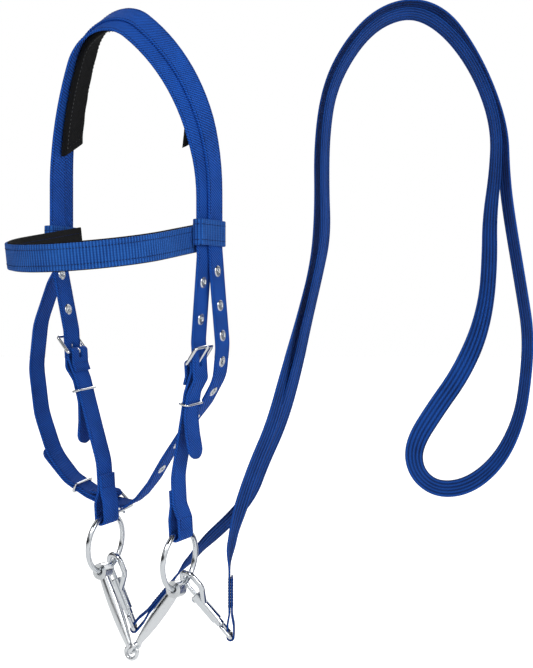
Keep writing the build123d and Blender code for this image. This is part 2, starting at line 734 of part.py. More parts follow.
# The rein's line from the right snap up, over and back to the left snap, as (across, up, depth)
# in the turned plane it hangs in. The webbing is modelled as a round cord of the same section.
rein_line = [
    (109, -476, 12),
    (123, -436, 10),
    (140, -397, 10),
    (154, -343, 14),
    (169, -289, 20),
    (183, -235, 24),
    (187, -181, 26),
    (186, -115, 26),
    (194, -57, 26),
    (215, -14, 26),
    (246, 19, 26),
    (283, 30, 26),
    (316, 17, 26),
    (341, -18, 26),
    (361, -59, 26),
    (374, -102, 26),
    (375, -140, 26),
    (379, -180, 26),
    (393, -263, 26),
    (400, -308, 26),
    (397, -351, 24),
    (390, -394, 22),
    (370, -435, 20),
    (339, -461, 18),
    (306, -465, 16),
    (284, -447, 14),
    (281, -419, 12),
    (304, -382, 10),
    (327, -350, 10),
    (345, -313, 10),
    (355, -274, 10),
    (358, -232, 10),
    (358, -190, 10),
    (364, -142, 10),
    (365, -99, 10),
    (352, -56, 10),
    (330, -18, 10),
    (304, 8, 10),
    (277, 18, 10),
    (246, 7, 10),
    (221, -19, 10),
    (200, -59, 10),
    (193, -103, 10),
    (192, -157, 10),
    (194, -207, 10),
    (186, -246, 10),
    (174, -298, 14),
    (164, -345, 20),
    (149, -397, 26),
    (129, -440, 28),
    (119, -468, 30),
    (102, -491, 34),
    (72, -520, 46),
]
cord_diameter = math.sqrt(4 * rein_width * rein_thick / math.pi)
route = [rein_ends["right"][0], rein_ends["right"][0] + rein_ends["right"][1] * 22]
route += [place(rein_plane, across, up, -depth) for across, up, depth in rein_line]
route += [rein_ends["left"][0] + rein_ends["left"][1] * 22, rein_ends["left"][0]]
radii = []
for before, point, after in zip(route, route[1:], route[2:]):
    half_turn = math.radians((point - before).get_angle(after - point)) / 2
    shorter = min((point - before).length, (after - point).length)
    radii.append(0.45 * shorter / math.tan(half_turn))
with BuildPart() as rein:
    with BuildLine() as rein_path:
        FilletPolyline(*route, radius=radii)
    with BuildSketch(Plane(origin=route[0], z_dir=rein_ends["right"][1])) as rein_section:
        Circle(cord_diameter / 2)
    sweep(rein_section.sketch, path=rein_path.wire())
save(rein.part, "rein")
print("rein radii", [round(radius) for radius in radii])
print("rein length", round(rein_path.wire().length), "volume", round(rein.part.volume))
print("section x length", round(math.pi / 4 * cord_diameter**2 * rein_path.wire().length))
print("route in metres", [tuple(round(c / 1000, 5) for c in point) for point in route])
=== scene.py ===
"""Looks of a webbing bridle: blue woven straps, black padding, bright fittings and a ribbed rein."""

import logging
import math
from dataclasses import dataclass, field
from enum import Enum

import bmesh
import bpy
from mathutils import Matrix, Vector

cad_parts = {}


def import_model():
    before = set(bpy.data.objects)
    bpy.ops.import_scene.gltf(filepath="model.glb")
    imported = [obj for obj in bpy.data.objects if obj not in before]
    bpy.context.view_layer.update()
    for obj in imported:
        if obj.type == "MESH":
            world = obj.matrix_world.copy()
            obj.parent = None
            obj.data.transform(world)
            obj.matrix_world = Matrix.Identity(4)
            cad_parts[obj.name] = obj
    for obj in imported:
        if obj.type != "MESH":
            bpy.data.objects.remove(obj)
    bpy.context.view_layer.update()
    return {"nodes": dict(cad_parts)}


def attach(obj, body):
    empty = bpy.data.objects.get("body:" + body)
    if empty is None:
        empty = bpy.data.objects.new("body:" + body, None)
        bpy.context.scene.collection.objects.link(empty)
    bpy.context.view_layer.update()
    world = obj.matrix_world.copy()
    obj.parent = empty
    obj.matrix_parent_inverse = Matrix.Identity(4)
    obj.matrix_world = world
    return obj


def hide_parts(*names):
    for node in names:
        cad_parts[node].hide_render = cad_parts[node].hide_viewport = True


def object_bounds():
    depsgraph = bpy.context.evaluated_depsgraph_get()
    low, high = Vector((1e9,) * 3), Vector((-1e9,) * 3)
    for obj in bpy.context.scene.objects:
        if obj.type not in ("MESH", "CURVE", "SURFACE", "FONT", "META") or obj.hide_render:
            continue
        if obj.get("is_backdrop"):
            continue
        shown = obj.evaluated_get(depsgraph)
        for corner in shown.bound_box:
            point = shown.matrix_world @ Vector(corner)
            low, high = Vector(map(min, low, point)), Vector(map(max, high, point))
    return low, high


LOG = logging.getLogger("bridle")
MM = 0.001
Pair = tuple[float, float]
Triple = tuple[float, float, float]
Socket = bpy.types.NodeSocket
Tree = bpy.types.NodeTree
Material = bpy.types.Material
Thing = bpy.types.Object


def colour(code: str) -> tuple[float, float, float, float]:
    """Turn an sRGB hex colour linear.

    Args:
        code: six hex digits.

    Returns:
        Linear red, green, blue and full alpha.
    """
    parts = [int(code[i : i + 2], 16) / 255 for i in (0, 2, 4)]
    linear = [c / 12.92 if c <= 0.04045 else ((c + 0.055) / 1.055) ** 2.4 for c in parts]
    return (*linear, 1.0)


def feed(node: bpy.types.Node, inputs: dict) -> None:
    """Set or link a shader node's inputs.

    Args:
        node: the node.
        inputs: values or output sockets, by input name or number.
    """
    for name, value in inputs.items():
        if isinstance(value, Socket):
            node.id_data.links.new(value, node.inputs[name])
        else:
            node.inputs[name].default_value = value


def add_node(tree: Tree, kind: str, inputs: dict | None = None, **settings) -> bpy.types.Node:
    """Add one shader node.

    Args:
        tree: the node tree it goes in.
        kind: the node's type name, without the "ShaderNode" that all start with.
        inputs: values or output sockets, by input name or number.
        settings: the node's own properties.

    Returns:
        The new node.
    """
    node = tree.nodes.new("ShaderNode" + kind)
    for name, value in settings.items():
        setattr(node, name, value)
    feed(node, inputs or {})
    return node


def blank(name: str) -> tuple[Material, Tree, bpy.types.Node]:
    """Start a material.

    Args:
        name: its name.

    Returns:
        The material, its node tree and its main shader.
    """
    material = bpy.data.materials.new(name)
    material.use_nodes = True
    return material, material.node_tree, material.node_tree.nodes["Principled BSDF"]


def scaled(tree: Tree, value: Socket, factor: float, more: Socket | float = 0.0) -> Socket:
    """Multiply a value and add to it.

    Args:
        tree: the node tree.
        value: what is multiplied.
        factor: what it is multiplied by.
        more: what is added.

    Returns:
        The result's output socket.
    """
    return add_node(tree, "Math", {0: value, 1: factor, 2: more}, operation="MULTIPLY_ADD").outputs[0]


def two_tone(tree: Tree, value: Socket, low: tuple[float, str], high: tuple[float, str]) -> Socket:
    """Fade from one colour to another.

    Args:
        tree: the node tree.
        value: what the fade follows.
        low: the value and sRGB hex colour that it starts at.
        high: the value and colour that it ends at.

    Returns:
        The colour's output socket.
    """
    ramp = add_node(tree, "ValToRGB", {0: value})
    for element, (place, code) in zip(ramp.color_ramp.elements, (low, high)):
        element.position = place
        element.color = colour(code)
    return ramp.outputs[0]


def put(name: str, data: bpy.types.ID) -> Thing:
    """Make an object and stand it in the scene.

    Args:
        name: its name.
        data: its mesh, curve, camera or lamp.

    Returns:
        The object.
    """
    thing = bpy.data.objects.new(name, data)
    bpy.context.scene.collection.objects.link(thing)
    return thing


class Weave(Enum):
    """How a cloth surface was made."""

    TWILL = "twill"
    CROSS_RIB = "cross rib"
    LENGTH_RIB = "length rib"
    KNIT = "knit"


@dataclass(frozen=True)
class ClothFinish:
    """A woven or knitted cloth, patterned by millimetres along and across the strap."""

    name: str
    # light is the colour painted on the weave's crests, dark is the painted shade in its hollows
    light: str
    dark: str
    weave: Weave
    pitch: float
    roughness: float = 0.78

    def wave(self, tree: Tree, value: Socket, pitch: float) -> Socket:
        """Make a 0 to 1 wave of the given pitch.

        Args:
            tree: the node tree.
            value: the distance it runs along, in millimetres.
            pitch: millimetres from crest to crest.

        Returns:
            The wave's output socket.
        """
        turn = scaled(tree, value, 2 * math.pi / pitch)
        sine = add_node(tree, "Math", {0: turn}, operation="SINE").outputs[0]
        return scaled(tree, sine, 0.5, 0.5)

    def build(self) -> Material:
        """Make the material.

        Returns:
            The finished material.
        """
        material, tree, shader = blank(self.name)
        place = add_node(tree, "UVMap", uv_map="Cloth").outputs["UV"]
        split = add_node(tree, "SeparateXYZ", {0: place})
        along, across = split.outputs[0], split.outputs[1]
        slant = scaled(tree, across, 0.9, along)
        back = scaled(tree, across, -0.9, along)
        # the yarns: slanted ridges for twill, bars across for ribbed webbing, stitches for knit
        lines = {
            Weave.TWILL: (slant, across),
            Weave.CROSS_RIB: (along, across),
            Weave.LENGTH_RIB: (across, slant),
            Weave.KNIT: (slant, back),
        }[self.weave]
        first = self.wave(tree, lines[0], self.pitch)
        second = self.wave(tree, lines[1], self.pitch * (1.0 if self.weave is Weave.KNIT else 0.75))
        both = add_node(tree, "Math", {0: first, 1: second}, operation="MULTIPLY").outputs[0]
        height = scaled(tree, both, 0.6, first)
        # fine fuzz breaks the yarns up, and slow patches of fading keep a long strap from looking flat
        fuzz = add_node(tree, "TexNoise", {"Vector": place, "Scale": 2.2, "Detail": 4.0})
        fade = add_node(tree, "TexNoise", {"Vector": place, "Scale": 0.035, "Detail": 3.0})
        rough = scaled(tree, fuzz.outputs[0], 0.7, height)
        painted_weave_shade = scaled(tree, rough, 0.46)
        tone = scaled(tree, fade.outputs[0], 0.5, painted_weave_shade)
        # painted shade: the ramp gives the weave's hollows the dark colour and its crests the light one, so
        # the yarn relief is shaded in the colour as well as by the bump
        tint = two_tone(tree, tone, (0.2, self.dark), (0.95, self.light))
        bump = add_node(tree, "Bump", {"Height": rough, "Strength": 0.8, "Distance": 0.0007})
        feed(shader, {"Base Color": tint, "Normal": bump.outputs[0]})
        # cloth is dull: hardly any gloss and the faintest bloom at its edges
        feed(shader, {"Roughness": self.roughness, "Specular IOR Level": 0.12})
        feed(shader, {"Sheen Weight": 0.03, "Sheen Roughness": 0.5})
        return material


@dataclass(frozen=True)
class MetalFinish:
    """A plated or brushed metal."""

    name: str
    tint: str
    roughness: float
    grain: float
    relief: float

    def build(self) -> Material:
        """Make the material.

        Returns:
            The finished material.
        """
        material, tree, shader = blank(self.name)
        feed(shader, {"Metallic": 1.0, "Base Color": colour(self.tint)})
        place = add_node(tree, "TexCoord").outputs["Object"]
        # handling marks and fine grain make the plating look used and not like a mirror
        smudge = add_node(tree, "TexNoise", {"Vector": place, "Scale": 120.0, "Detail": 5.0})
        grain = add_node(tree, "TexNoise", {"Vector": place, "Scale": self.grain, "Detail": 3.0})
        span = add_node(tree, "MapRange", {"Value": smudge.outputs[0], "From Min": 0.3, "From Max": 0.7})
        feed(span, {"To Min": self.roughness * 0.7, "To Max": self.roughness * 1.5})
        relief = {"Height": grain.outputs[0], "Strength": self.relief, "Distance": 0.0002}
        bump = add_node(tree, "Bump", relief)
        feed(shader, {"Roughness": span.outputs[0], "Normal": bump.outputs[0]})
        return material


@dataclass(frozen=True)
class Board:
    """A flat working plane that straps are drawn on, in millimetres."""

    origin: Vector
    x: Vector
    z: Vector

    @property
    def y(self) -> Vector:
        """The plane's own y direction."""
        return self.z.cross(self.x)

    def at(self, x: float, y: float, z: float = 0.0) -> Vector:
        """Row position, in millimetres, of a point given on the plane.

        Args:
            x: distance along x.
            y: distance along y.
            z: distance off the plane.

        Returns:
            The point.
        """
        return self.origin + self.turn(x, y, z)

    def turn(self, x: float, y: float, z: float = 0.0) -> Vector:
        """Row direction of a direction given on the plane.

        Args:
            x: part along x.
            y: part along y.
            z: part off the plane.

        Returns:
            The direction.
        """
        return self.x * x + self.y * y + self.z * z


def leaning_board(y: float, z: float, lean: float) -> Board:
    """Upright plane facing forward that leans back going down.

    Args:
        y: where it stands, front to back.
        z: the height of its origin.
        lean: its lean in degrees.

    Returns:
        The plane.
    """
    angle = math.radians(lean)
    return Board(Vector((0, y, z)), Vector((1, 0, 0)), Vector((0, -math.cos(angle), -math.sin(angle))))


def rounded(points: list[Pair], radii: list[float]) -> list[Vector]:
    """Round the corners of a line and give close points along it.

    Args:
        points: the corners, in millimetres.
        radii: one radius for each inner corner.

    Returns:
        The points of the rounded line.
    """
    corners = [Vector(p) for p in points]
    line = [corners[0]]
    for before, corner, after, radius in zip(corners, corners[1:], corners[2:], radii):
        back, onward = (before - corner).normalized(), (after - corner).normalized()
        between = back.angle(onward)
        start = corner + back * radius / math.tan(between / 2)
        centre = corner + (back + onward).normalized() * radius / math.sin(between / 2)
        turn = math.copysign(math.pi - between, -back.x * onward.y + back.y * onward.x)
        steps = max(2, round(abs(turn) / math.radians(9)))
        spoke = start - centre
        for step in range(steps + 1):
            angle = turn * step / steps
            line.append(centre + Matrix.Rotation(angle, 2) @ spoke)
    line.append(corners[-1])
    return [p for i, p in enumerate(line) if i == 0 or (p - line[i - 1]).length > 0.05]


@dataclass
class Strip:
    """A strap's middle line with the direction of its width at each point, in millimetres."""

    points: list[Vector]
    widths: list[Vector]
    width: float
    thick: float
    tip: float = 0.0
    sums: list[float] = field(default_factory=list)

    def __post_init__(self) -> None:
        """Divide long runs and measure the line."""
        points, widths = [self.points[0]], [self.widths[0]]
        for i in range(1, len(self.points)):
            gap = (self.points[i] - self.points[i - 1]).length
            count = max(1, math.ceil(gap / 5.0))
            for step in range(1, count + 1):
                points.append(self.points[i - 1].lerp(self.points[i], step / count))
                widths.append(self.widths[i - 1].lerp(self.widths[i], step / count))
        self.points, self.widths = points, widths
        self.sums = [0.0]
        for a, b in zip(points, points[1:]):
            self.sums.append(self.sums[-1] + (b - a).length)

    @property
    def length(self) -> float:
        """The line's length."""
        return self.sums[-1]

    def frame_at(self, distance: float) -> tuple[Vector, Vector, Vector, Vector]:
        """Find the strap's place at a distance along it.

        Args:
            distance: millimetres from its start.

        Returns:
            Middle point, direction along, width vector of unit half scale, and face normal.
        """
        distance = min(max(distance, 0.0), self.length)
        i = next((k for k in range(1, len(self.sums)) if self.sums[k] >= distance), len(self.sums) - 1)
        share = (distance - self.sums[i - 1]) / max(1e-6, self.sums[i] - self.sums[i - 1])
        point = self.points[i - 1].lerp(self.points[i], share)
        along = (self.points[i] - self.points[i - 1]).normalized()
        across = self.widths[i - 1].lerp(self.widths[i], share)
        return point, along, across, along.cross(across).normalized()

    def narrow(self, distance: float) -> float:
        """How much of the width is left near the rounded tip.

        Args:
            distance: millimetres from the start.

        Returns:
            A share from 0 to 1.
        """
        left = self.length - distance
        if self.tip and left < self.tip:
            return math.sqrt(max(0.02, 1 - (1 - left / self.tip) ** 2))
        return 1.0

    def rings(self, section: list[Pair]) -> list[tuple[float, list[Vector]]]:
        """Place a section at every point of the line.

        Args:
            section: the outline across the strap, in millimetres.

        Returns:
            Distance along and the placed outline, for each point.
        """
        stops = list(self.sums)
        if self.tip:
            stops += [self.length - self.tip * share for share in (0.0, 0.02, 0.08, 0.2, 0.4, 0.7)]
        placed = []
        for distance in sorted(set(round(s, 3) for s in stops)):
            low, high = max(0.0, distance - 0.8), min(self.length, distance + 0.8)
            ahead = self.frame_at(high)[0] - self.frame_at(low)[0]
            point, _, across, _ = self.frame_at(distance)
            normal = ahead.cross(across).normalized()
            share = self.narrow(distance)
            placed.append((distance, [point + across * (a * share) + normal * b for a, b in section]))
        return placed

    def mesh(self, name: str, section: list[Pair]) -> Thing:
        """Build the strap's mesh with its cloth coordinates in millimetres.

        Args:
            name: the new object's name.
            section: the outline across the strap.

        Returns:
            The mesh object.
        """
        rings = self.rings(section)
        count = len(section)
        corners = [v * MM for _, ring in rings for v in ring]
        faces, places = [], []
        girth = [0.0]
        for a, b in zip(section, section[1:] + section[:1]):
            girth.append(girth[-1] + math.dist(a, b))
        for i in range(len(rings) - 1):
            low, high = rings[i][0], rings[i + 1][0]
            for j in range(count):
                k = (j + 1) % count
                faces.append((i * count + j, i * count + k, (i + 1) * count + k, (i + 1) * count + j))
                places += [(low, girth[j]), (low, girth[j + 1]), (high, girth[j + 1]), (high, girth[j])]
        last = (len(rings) - 1) * count
        for cap in (tuple(reversed(range(count))), tuple(range(last, last + count))):
            faces.append(cap)
            places += [(section[v % count][0] * 0.2, section[v % count][0]) for v in cap]
        data = bpy.data.meshes.new(name)
        data.from_pydata(corners, [], faces)
        cloth = data.uv_layers.new(name="Cloth")
        for loop, place in zip(cloth.data, places):
            loop.uv = place
        for face in data.polygons:
            face.use_smooth = len(face.vertices) == 4
        shape = bmesh.new()
        shape.from_mesh(data)
        bmesh.ops.recalc_face_normals(shape, faces=shape.faces)
        shape.to_mesh(data)
        shape.free()
        return put(name, data)


def flat_section(width: float, thick: float, edge: float = 0.8) -> list[Pair]:
    """Outline of flat webbing with rounded edges.

    Args:
        width: across the strap.
        thick: through it.
        edge: how round the edges are, as a share of half the thickness.

    Returns:
        The outline's points.
    """
    radius = thick / 2 * edge
    half, rise = width / 2 - radius, thick / 2 - radius
    outline = []
    for corner, (x, y) in enumerate(((half, -rise), (half, rise), (-half, rise), (-half, -rise))):
        for step in range(4):
            angle = math.radians(-90 + corner * 90 + step * 30)
            outline.append((x + radius * math.cos(angle), y + radius * math.sin(angle)))
        if corner in (1, 3):
            way = -1 if corner == 1 else 1
            outline += [(way * half * share, way * -thick / 2) for share in (-0.9, -0.4, 0.0, 0.4, 0.9)]
    return outline


def ribbed_section(width: float, thick: float, ribs: int, groove: float) -> list[Pair]:
    """Outline of webbing with ribs running along it.

    Args:
        width: across the strap.
        thick: through a rib.
        ribs: how many ribs.
        groove: how deep the grooves between ribs are.

    Returns:
        The outline's points.
    """
    outline = []
    for way in (-1, 1):
        for step in range(ribs * 6 + 1):
            share = step / (ribs * 6)
            dip = abs(math.sin(share * ribs * math.pi)) ** 0.4
            outline.append((-way * (share - 0.5) * width, way * (thick / 2 - groove * (1 - dip))))
    return outline


def wear(thing: Thing, finish: Material, slot: str, *nodes: str) -> None:
    """Give a piece its finish, its place in the object and the nodes it stands for.

    Args:
        thing: the piece.
        finish: its material.
        slot: not used.
        nodes: the frame's nodes that it replaces.
    """
    thing.name = thing.name.replace(" ", "_")
    thing.data.materials.clear()
    thing.data.materials.append(finish)
    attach(thing, "bridle")
    if nodes:
        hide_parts(*nodes)


@dataclass
class Cutter:
    """Cuts punched holes and slots."""

    blocks: list[Thing] = field(default_factory=list)

    def hole(self, centre: Vector, way: Vector, radius: float) -> None:
        """Mark a round hole.

        Args:
            centre: its middle, in millimetres.
            way: the direction it goes through.
            radius: its radius, in millimetres.
        """
        size = {"radius": radius * MM, "depth": 8 * MM}
        bpy.ops.mesh.primitive_cylinder_add(vertices=28, location=centre * MM, **size)
        thing = bpy.context.object
        thing.rotation_euler = way.to_track_quat("Z", "Y").to_euler()
        self.blocks.append(thing)

    def slot(self, board: Board, size: Triple, centre: Triple) -> None:
        """Mark a square slot.

        Args:
            board: the plane it is drawn on.
            size: its size along the plane's directions.
            centre: its middle on the plane.
        """
        bpy.ops.mesh.primitive_cube_add(size=1)
        thing = bpy.context.object
        axes = Matrix((board.x, board.y, board.z)).transposed().to_4x4()
        scale = Matrix.Diagonal((*[s * MM for s in size], 1))
        thing.matrix_world = Matrix.Translation(board.at(*centre) * MM) @ axes @ scale
        self.blocks.append(thing)

    def cut(self, thing: Thing) -> None:
        """Cut every marked hole out of a piece and clear the marks.

        Args:
            thing: the piece.
        """
        bpy.context.view_layer.update()
        for block in self.blocks:
            change = thing.modifiers.new("cut", "BOOLEAN")
            change.operation = "DIFFERENCE"
            change.solver = "EXACT"
            change.object = block
        whole = thing.evaluated_get(bpy.context.evaluated_depsgraph_get())
        data = bpy.data.meshes.new_from_object(whole)
        thing.modifiers.clear()
        thing.data = data
        for block in self.blocks:
            bpy.data.objects.remove(block)
        self.blocks = []


BOTH = (1, -1)  # the two faces of a strap
EDGE = 10.2  # how far off a strap's middle its edge rows are sewn


@dataclass
class Thread:
    """Sewing thread: short stitches that stand a little out of the cloth."""

    finish: Material
    pitch: float = 3.4
    corners: list[Vector] = field(default_factory=list)
    faces: list[tuple[int, ...]] = field(default_factory=list)

    def stitch(self, middle: Vector, along: Vector, normal: Vector, length: float = 2.3) -> None:
        """Add one stitch.

        Args:
            middle: its middle, in millimetres.
            along: the direction it lies in.
            normal: out of the cloth.
            length: how long it is.
        """
        side = along.cross(normal).normalized()
        start = len(self.corners)
        for place in (-0.5, -0.22, 0.22, 0.5):
            swell = 0.12 if abs(place) == 0.5 else 0.42
            for way, rise in ((-1, -0.1), (0, 1), (1, -0.1)):
                lift = side * way * swell + normal * rise * swell
                self.corners.append(middle + along * length * place + lift)
        for i in range(3):
            for a in (start + i * 3, start + i * 3 + 1):
                self.faces.append((a, a + 1, a + 4, a + 3))

    def row(self, strip: Strip, across: float, low: float, high: float) -> None:
        """Sew a row of stitches along a strap.

        Args:
            strip: the strap.
            across: the row's place off the middle.
            low: where the row starts along the strap.
            high: where it ends.
        """
        for step in range(int((high - low) / self.pitch)):
            point, along, wide, normal = strip.frame_at(low + (step + 0.5) * self.pitch)
            for way in BOTH:
                self.stitch(point + wide * across + normal * way * strip.thick / 2, along, normal * way)

    def edges(self, strip: Strip, low: float, high: float, half: float = EDGE) -> None:
        """Sew a row along each edge of a strap.

        Args:
            strip: the strap.
            low: where the rows start.
            high: where they end.
            half: how far they are off the middle.
        """
        for across in (-half, half):
            self.row(strip, across, low, high)

    def bar(self, strip: Strip, distance: float, half: float) -> None:
        """Sew a row across a strap.

        Args:
            strip: the strap.
            distance: its place along the strap.
            half: half its length.
        """
        point, _, wide, normal = strip.frame_at(distance)
        count = int(2 * half / self.pitch)
        for step in range(count + 1):
            place = point + wide * (step / count - 0.5) * 2 * half
            for way in BOTH:
                self.stitch(place + normal * way * strip.thick / 2, wide.normalized(), normal * way)

    def box(self, strip: Strip, low: float, high: float, half: float = 9.5) -> None:
        """Sew a closed box of stitches.

        Args:
            strip: the strap.
            low: where it starts.
            high: where it ends.
            half: half its width.
        """
        self.edges(strip, low, high, half)
        self.bar(strip, low, half)
        self.bar(strip, high, half)

    def finish_off(self, name: str, slot: str) -> None:
        """Turn the stitches into one piece.

        Args:
            name: the piece's name.
            slot: passed on to wear, which does not use it.
        """
        data = bpy.data.meshes.new(name)
        data.from_pydata([c * MM for c in self.corners], [], self.faces)
        cloth = data.uv_layers.new(name="Cloth")
        for loop in data.loops:
            cloth.data[loop.index].uv = self.corners[loop.vertex_index].xz
        wear(put(name, data), self.finish, slot)
        self.corners, self.faces = [], []


# sizes in millimetres
PAD_THICK = 7.0
WEB = 25.0  # webbing width
PLY = 2.5  # webbing thickness
STEP = 2.8  # from ply to ply where two are sewn together
HALF = 80.0  # half the crown's width
TOP_RADIUS = 36.0  # the crown's tight curve at the top
TOP_SHIFT = 24.0  # how far left the top of the crown is
LEFT_TURN = math.radians(70)  # how far the tight curve goes on each side
RIGHT_TURN = math.radians(37)
LEAN = math.tan(math.radians(32))  # the crown's slope, front to back
CHEEK_PLY = 8.55  # the lower crown strap's middle, off the pad's underside
THROAT_PLY = 11.35  # the upper crown strap's middle
STRAP_DROP = 221.5  # from the poll down to the ends of the crown straps
FOLD = 3.15  # middle of webbing folded round a buckle's bar
BILLET = 6.05  # middle of a punched strap, off the bar
SLIP = 11.0  # how much lower the right cheek piece is buckled
BUCKLE_SLOT = (22.6, 14.0, 4.8)
REIN_WIDTH = 20.0
REIN_THICK = 2.0
FLAT = flat_section(WEB, PLY)
RIBBED = ribbed_section(REIN_WIDTH, REIN_THICK, 4, 0.55)


@dataclass
class Finishes:
    """Every material of the object, made once."""

    webbing: Material
    ribbed: Material
    rein: Material
    pad: Material
    thread: Material
    dark_thread: Material
    grey_thread: Material
    nickel: Material
    satin: Material
    spring: Material

    @classmethod
    def make(cls) -> "Finishes":
        """Make all the finishes.

        Returns:
            The set of materials.
        """
        cloths = {
            # slanted yarns catch the light in steps on the narrow straps; the colour paints these steps,
            # light on the crests and shade in the hollows
            "webbing": ("nylon webbing, twill woven", "1C60CC", "02103E", Weave.TWILL, 3.0),
            # bars across give the browband its corded face, with painted shade in the hollows between the
            # bars
            "ribbed": ("nylon webbing, cross ribbed", "2A68C0", "052060", Weave.CROSS_RIB, 3.0),
            # grooves run the whole length of the rein; the shade in them is painted dark into the colour
            "rein": ("nylon rein webbing, ribbed along", "184CA2", "020A26", Weave.LENGTH_RIB, 4.2),
            # a dull black knit that soaks up the light, with faint painted shade in the hollows of its
            # stitches
            "pad": ("padded cover, warp knit", "1A1B1D", "040405", Weave.KNIT, 1.4, 0.85),
            "thread": ("polyester thread, blue", "16388A", "0A2058", Weave.TWILL, 0.8),
            "dark_thread": ("polyester thread, navy", "0D2558", "050F2C", Weave.TWILL, 0.8),
            "grey_thread": ("polyester thread, grey", "6C6E70", "3A3B3D", Weave.TWILL, 0.8),
        }
        # near mirrors: plated wire and snaps, then the softer shine of the tumbled mouthpiece
        metals = {
            "nickel": ("steel, bright nickel plated", "DADEE2", 0.1, 900.0, 0.05),
            "satin": ("stainless steel, tumbled satin", "E2E5E8", 0.2, 2200.0, 0.2),
            "spring": ("spring wire, drawn", "9A9C9F", 0.3, 1500.0, 0.1),
        }
        return cls(
            **{key: ClothFinish(*values).build() for key, values in cloths.items()},
            **{key: MetalFinish(*values).build() for key, values in metals.items()},
        )


@dataclass
class Crown:
    """The pad over the poll and the two straps that lie on it."""

    finishes: Finishes

    def line(self, height: float, drop: float) -> list[Vector]:
        """Points of the arch, from the left end over the top to the right end.

        Args:
            height: how far off the pad's underside the line is.
            drop: how far down its ends are.

        Returns:
            Points in the plane of the arch.
        """
        tight = TOP_RADIUS + height
        found = []
        for side, turn in ((-1, LEFT_TURN), (1, RIGHT_TURN)):
            clear = HALF + side * TOP_SHIFT
            radius = (clear - TOP_RADIUS * math.sin(turn)) / (1 - math.sin(turn))
            low = TOP_RADIUS * (1 - math.cos(turn)) + radius * math.cos(turn)
            part = []
            for step in range(13):
                angle = turn * step / 12
                away = side * tight * math.sin(angle)
                part.append((away - TOP_SHIFT, tight * math.cos(angle) - TOP_RADIUS))
            for step in range(1, 19):
                angle = turn + (math.pi / 2 - turn) * step / 18
                wide = radius + height
                part.append((side * (HALF - radius + wide * math.sin(angle)), wide * math.cos(angle) - low))
            part.append((side * (HALF + height), -240.0))
            found.append([p for p in part if p[1] > -drop])
            last = part[len(found[-1])]
            near = found[-1][-1]
            share = (near[1] + drop) / (near[1] - last[1])
            found[-1].append((near[0] + (last[0] - near[0]) * share, -drop))
        left, right = found
        return [Vector(p) for p in list(reversed(left)) + right[1:]]

    def strip(self, height: float, drop: float, front: float, width: float, thick: float) -> Strip:
        """Lay one ply over the arch.

        Args:
            height: its middle's height off the pad's underside.
            drop: how far down its ends are.
            front: where its front edge is.
            width: its width.
            thick: its thickness.

        Returns:
            The ply's line.
        """
        middle = front + width / 2
        points, widths = [], []
        for p in self.line(height, drop):
            lean = LEAN * min(1.0, max(0.0, (p.y + 205) / 95))
            points.append(Vector((p.x, middle, p.y + middle * lean)))
            widths.append(Vector((0, -1, -lean)))
        return Strip(points, widths, width, thick)

    def build(self) -> None:
        """Build the pad, both straps and their stitching."""
        pad = self.strip(PAD_THICK / 2 - 0.1, 121.0, -8.0, 31.5, PAD_THICK)
        section = []
        for step in range(36):
            angle = 2 * math.pi * step / 36
            round_x = math.copysign(abs(math.cos(angle)) ** 0.35, math.cos(angle))
            round_y = math.copysign(abs(math.sin(angle)) ** 0.55, math.sin(angle))
            section.append((15.7 * round_x, 3.3 * round_y))
        thing = pad.mesh("poll pad cover", section)
        for vertex in thing.data.vertices:
            # the stuffing gathers between stitches, so the inner face ripples a little
            ripple = 0.5 + 0.5 * math.sin(vertex.co.z * 260 + vertex.co.x * 90)
            vertex.co.x -= math.copysign(0.0006, vertex.co.x) * ripple
            # the right end curls in, away from the straps
            if vertex.co.x > 0 and vertex.co.z < -0.092:
                vertex.co.x -= (-0.092 - vertex.co.z) ** 1.5 * 1.9
        wear(thing, self.finishes.pad, "pad", "poll_pad")
        edge = Thread(self.finishes.grey_thread, 4.2)
        edge.edges(pad, 6, pad.length - 6, 12.6)
        for far in (7.0, pad.length - 7.0):
            edge.bar(pad, far, 12.0)
        edge.finish_off("pad stitching", "pad")
        lower = self.strip(CHEEK_PLY, STRAP_DROP, -20.0, WEB, PLY)
        wear(lower.mesh("crown strap", FLAT), self.finishes.webbing, "webbing", "crown_strap")
        upper = self.strip(THROAT_PLY, STRAP_DROP, -4.0, WEB, PLY)
        wear(upper.mesh("throat crown strap", FLAT), self.finishes.webbing, "webbing", "throat_crown")
        seams = Thread(self.finishes.dark_thread)
        for strap in (lower, upper):
            seams.edges(strap, 30, strap.length - 30)
        seams.finish_off("crown stitching", "webbing")


